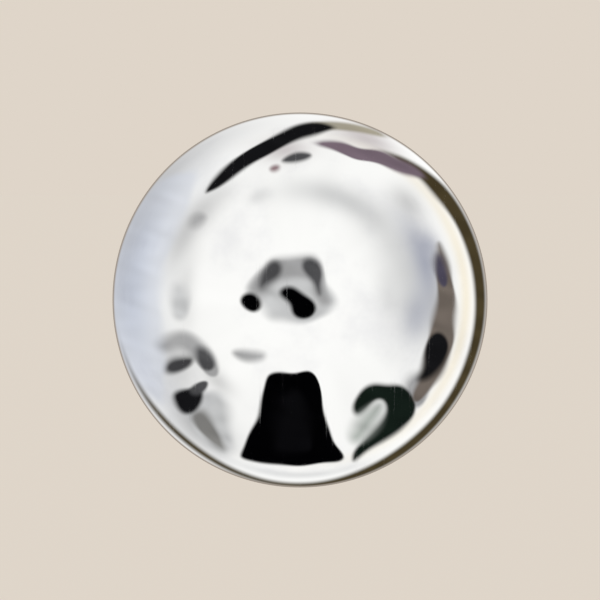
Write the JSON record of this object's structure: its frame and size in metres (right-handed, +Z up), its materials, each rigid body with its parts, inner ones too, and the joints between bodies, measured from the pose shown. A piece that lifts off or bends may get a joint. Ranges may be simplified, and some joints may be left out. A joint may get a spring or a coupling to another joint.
{
  "type": "ball stud earring",
  "caption": "Small mirror-polished metal ball soldered to a straight notched post, with a rolled sheet-metal butterfly back that grips the post behind the earlobe.",
  "frame": {"origin": "on the post's axis at the back of the ball, where the ball rests on the front of the earlobe", "axes": "+Y along the post from the front of the lobe to its back, +Z up as worn, +X to the right seen from the front"},
  "size_m": [0.005, 0.016, 0.005],
  "materials": {
    "mirror_polish": "mirror-polished stainless steel",
    "spring_sheet": "tumbled bright, stamped and rolled stainless spring sheet"
  },
  "bodies": {
    "root": {"ball_and_post": "mirror_polish", "butterfly_back": "spring_sheet"}
  },
  "joints": []
}
